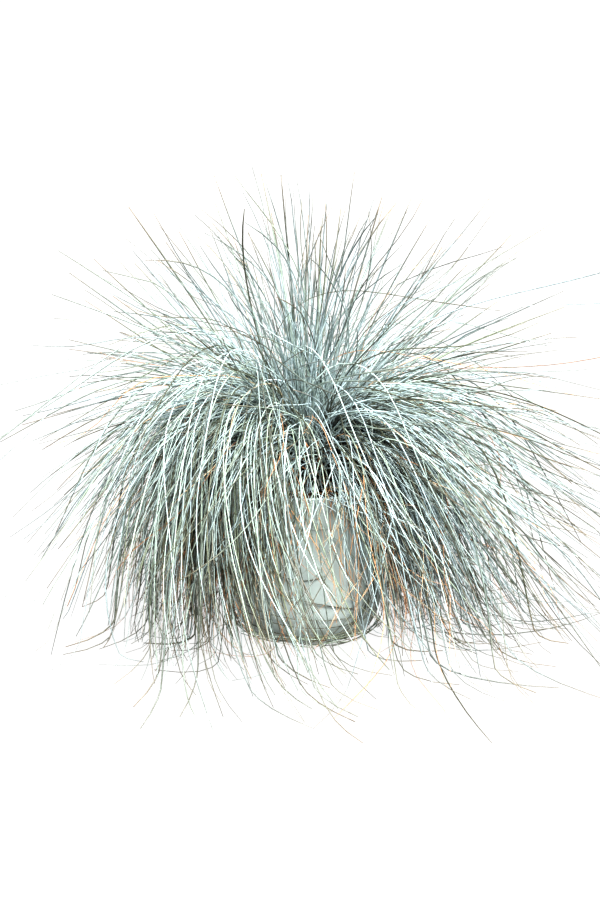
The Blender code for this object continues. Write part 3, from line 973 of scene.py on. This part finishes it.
def makeStrays():
    rng = np.random.default_rng(seeds["strays"])
    facts = strayFacts
    rows = np.array([row for group in strayBlades.values() for row in group], float)
    drifts = [np.full(len(group), facts["drift"].get(name, 0)) for name, group in strayBlades.items()]
    drift = np.concatenate(drifts)
    count = len(rows)
    blades = {
        "turn": np.radians(rows[:, 0]) - facts["startsBack"] * drift,
        "lean": np.radians(rows[:, 1]),
        "rootTurn": np.radians(rows[:, 0]) + rng.normal(0, facts["rootTurn"], count),
        "rootLean": np.radians(rows[:, 1]),
        "length": rows[:, 2] / 1000,
        "droop": rows[:, 3],
        "sway": drift + rng.normal(0, facts["sway"], count),
        "wander": rng.uniform(*facts["wander"], count),
        **plainFacts(count),
        "twist": rng.normal(0, facts["twist"], count),
        "roll": rng.normal(0, facts["roll"], count),
        "taper": rng.uniform(*facts["taper"], count),
        "halfWidth": rng.uniform(*facts["halfWidth"], count),
        "tone": np.clip(rng.normal(*facts["tone"], count), facts["leastTone"], 1),
        "hue": np.clip(rng.normal(*facts["hue"], count), 0, 1),
        "dry": rng.uniform(*facts["dry"], count),
        "shade": np.full(count, facts["shade"]),
    }
    piece = drawBlades("strayBlades", blades, growLines(blades, rng), facts["stations"])
    dress(piece, bladeMaterial, "fescue_blades")


# Dead blades: curly and tan, most of them low in the clump, in tangles on both sides of the pot

deadTangles = {
    "scattered": {
        "locks": 100, "perLock": 3, "lean": (24, 66), "length": (0.12, 0.29), "droop": (4.5, 12.0),
        "around": (48, 335), "wander": (1.0, 4.0), "tone": (0.66, 0.22),
    },
    "behindLeft": {
        "locks": 26, "perLock": 4, "lean": (20, 44), "length": (0.19, 0.27), "droop": (9.0, 14.0),
        "around": (-92, -44), "wander": (1.5, 6.0), "tone": (0.62, 0.26),
    },
    "twiggyRight": {
        "locks": 20, "perLock": 4, "lean": (38, 62), "length": (0.19, 0.27), "droop": (8.0, 14.0),
        "around": (58, 104), "wander": (2.0, 7.0), "tone": (0.55, 0.24),
    },
    "overRim": {
        "locks": 9, "perLock": 2, "lean": (40, 75), "length": (0.07, 0.17), "droop": (5.0, 12.0),
        "around": (-20, 40), "wander": (3.0, 9.0), "tone": (0.72, 0.20),
    },
    "overPot": {
        "locks": 6, "perLock": 2, "lean": (24, 44), "length": (0.15, 0.25), "droop": (8.0, 12.0),
        "around": (-30, 34), "wander": (2.0, 7.0), "tone": (0.74, 0.20), "drift": 0.8,
    },
}
deadCommon = {
    "stations": 18, "hue": 0.5, "sway": 1.0, "scatter": 0.4, "rootLean": (0.5, 1.1),
    "slimmer": 0.60,
}


def makeDead():
    rng = np.random.default_rng(seeds["dead"])
    tangles = [castBlades({**deadCommon, **facts}, rng) for facts in deadTangles.values()]
    blades = {key: np.concatenate([tangle[key] for tangle in tangles]) for key in tangles[0]}
    blades["halfWidth"] *= deadCommon["slimmer"]
    lines = growLines(blades, rng)
    piece = drawBlades("deadBlades", blades, lines, deadCommon["stations"])
    dress(piece, strawSkin(), "old_sheaths")


# Blades that cling to the pot. Each has its start, the point that it is drawn towards and its end, as
# an angle in degrees from the front towards +X and a height in millimetres
wrappedBlades = [
    (-64, 112, -22, 52, 13, 70), (-62, 60, -6, 52, 40, 33), (-46, 36, 2, 28, 37, 27),
    (-50, 30, 8, 17, 54, 22), (-44, 18, 2, 10, 46, 9), (22, 134, 74, 82, 42, 20),
    (30, 134, 80, 92, 30, 10), (16, 134, 70, 66, 60, 8), (38, 132, 86, 60, 24, 12),
    (-8, 134, 40, 84, 66, 24), (44, 130, 78, 40, 60, 6), (26, 134, 58, 104, 66, 40),
    (34, 134, 66, 88, 46, 18), (18, 134, 62, 96, 50, 30), (40, 132, 72, 74, 36, 8),
    (62, 108, 56, 52, 16, 10), (66, 96, 62, 36, 22, 6), (70, 84, 64, 24, 30, 4),
    (12, 132, 52, 108, 60, 56), (28, 134, 64, 70, 56, 14),
]
wrappedFacts = {
    "startsOut": 0.003, "dark": 5, "darkTone": 0.03, "tone": (0.02, 0.60), "hue": (0.6, 1.0),
    "dry": (0.5, 1), "halfWidth": 0.00060, "twist": 0.6, "roll": 0.4, "taper": (0.2, 0.4), "stations": 24,
}
# The thin blades matted round the pot's foot, in degrees and metres
footTangle = {
    "count": 46, "start": (-112, 64), "sweep": (14, 58), "high": (0.0015, 0.016), "out": 0.010,
    "halfWidth": (0.00032, 0.00056),
}


def makeWrapped():
    rng = np.random.default_rng(seeds["wrapped"])
    tangle = footTangle["count"]
    starts = rng.uniform(*footTangle["start"], tangle)
    ends = starts + rng.uniform(*footTangle["sweep"], tangle)
    highs = rng.uniform(*footTangle["high"], (3, tangle)) * 1000
    matted = np.stack([starts, highs[0], (starts + ends) / 2, highs[1], ends, highs[2]], 1)
    rows = np.concatenate([np.array(wrappedBlades, float), matted])
    count = len(rows)
    shares = np.linspace(0, 1, growth["steps"] + 1)[None, :]
    weights = [(1 - shares) ** 2, 2 * shares * (1 - shares), shares**2]
    turns = np.radians(sum(w * rows[:, 2 * k:2 * k + 1] for k, w in enumerate(weights)))
    heights = sum(w * rows[:, 2 * k + 1:2 * k + 2] for k, w in enumerate(weights)) / 1000
    away = np.zeros((3, count, 1))
    away[0, :] = wrappedFacts["startsOut"]
    away[:, -tangle:, 0] = rng.uniform(0, footTangle["out"], (3, tangle))
    outside = sum(w * away[k] for k, w in enumerate(weights))
    radius = potRadius(heights) + growth["clearance"] + outside
    lines = np.stack([radius * np.sin(turns), -radius * np.cos(turns), heights], 2)
    number = np.arange(count)
    facts = wrappedFacts
    blades = {
        "turn": turns[:, -1],
        "twist": rng.normal(0, facts["twist"], count),
        "roll": np.full(count, facts["roll"]),
        "taper": rng.uniform(*facts["taper"], count),
        "halfWidth": np.where(
            number < count - tangle, facts["halfWidth"], rng.uniform(*footTangle["halfWidth"], count),
        ),
        "tone": np.where(number < facts["dark"], facts["darkTone"], rng.uniform(*facts["tone"], count)),
        "hue": rng.uniform(*facts["hue"], count),
        "dry": rng.uniform(*facts["dry"], count),
        "shade": np.zeros(count),
    }
    piece = drawBlades("wrappedBlades", blades, lines, facts["stations"])
    dress(piece, bladeMaterial, "fescue_blades")


# The crown: a dome of short stem bases and dry sheaths

crownFacts = {
    "stubs": 420, "past": 1.05, "leanShare": (0.6, 1.1), "mostLean": 1.3, "length": (0.012, 0.034),
    "droop": (0, 0.8), "sway": 0.4, "wander": (0, 0.6), "twist": 1, "taper": (0.4, 0.9),
    "halfWidth": (0.0008, 0.0017), "tone": (0.12, 0.15), "stations": 5,
}


def makeCrown():
    rng = np.random.default_rng(seeds["crown"])
    facts = crownFacts
    count = facts["stubs"]
    place = np.sqrt(rng.random(count)) * crown["lean"] * facts["past"]
    turn = rng.uniform(0, tau, count)
    blades = {
        "turn": turn,
        "lean": np.clip(place * rng.uniform(*facts["leanShare"], count), 0, facts["mostLean"]),
        "rootTurn": turn,
        "rootLean": place,
        "length": rng.uniform(*facts["length"], count),
        "droop": rng.uniform(*facts["droop"], count),
        "sway": rng.normal(0, facts["sway"], count),
        "wander": rng.uniform(*facts["wander"], count),
        **plainFacts(count),
        "twist": rng.normal(0, facts["twist"], count),
        "roll": rng.uniform(0, tau, count),
        "taper": rng.uniform(*facts["taper"], count),
        "halfWidth": rng.uniform(*facts["halfWidth"], count),
        "tone": np.clip(rng.normal(*facts["tone"], count), 0, 1),
    }
    stubs = drawBlades("crownSheaths", blades, growLines(blades, rng), facts["stations"])
    bm = bmesh.new()
    bm.from_mesh(stubs.data)
    radius = crown["ball"] - growth["rootInset"]
    made = bmesh.ops.create_icosphere(bm, subdivisions=4, radius=radius)["verts"]
    bmesh.ops.translate(bm, verts=made, vec=(0, 0, crown["centre"]))
    ballFaces = list({f for v in made for f in v.link_faces})
    ball = made + ballFaces + list({e for v in made for e in v.link_edges})
    cut = bmesh.ops.bisect_plane(
        bm, geom=ball, plane_co=(0, 0, crownLow[2]), plane_no=(0, 0, -1), clear_outer=True,
    )
    rim = [e for e in cut["geom_cut"] if isinstance(e, bmesh.types.BMEdge)]
    bmesh.ops.holes_fill(bm, edges=rim, sides=0)
    bmesh.ops.recalc_face_normals(bm, faces=bm.faces)
    bm.to_mesh(stubs.data)
    bm.free()
    stubs.data.shade_smooth()
    dress(stubs, strawSkin(), "old_sheaths", "crown")


addCamera()
addStudio()
print("camera and studio set")
makePot()
makeSoil()
makeCrown()
bladeMaterial = bladeSkin()
for number, ring in enumerate(rings):
    makeRing(ring, number)
makeStrays()
makeDead()
makeWrapped()
